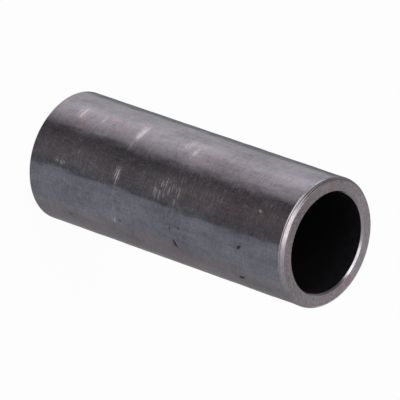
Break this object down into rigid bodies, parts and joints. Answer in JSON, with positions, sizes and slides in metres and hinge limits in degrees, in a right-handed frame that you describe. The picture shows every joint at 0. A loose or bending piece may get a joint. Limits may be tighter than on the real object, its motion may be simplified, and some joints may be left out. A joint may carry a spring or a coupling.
{
  "type": "spacer sleeve",
  "caption": "Plain round steel spacer sleeve: a short length of thick-walled tube with square-faced ends and broken edges, through which a bolt or axle passes.",
  "frame": {"origin": "centre of the lower end face, in the plane the sleeve stands on", "axes": "+Z along the sleeve's axis, up through the bore; the sleeve is round, so X and Y are free"},
  "size_m": [0.035, 0.035, 0.09],
  "materials": {
    "drawn_steel": "cold-drawn, lightly oiled outside with handling scuffs and small pits; ends turned bright; bore left with dark scale"
  },
  "bodies": {
    "root": {"sleeve": "drawn_steel"}
  },
  "joints": []
}
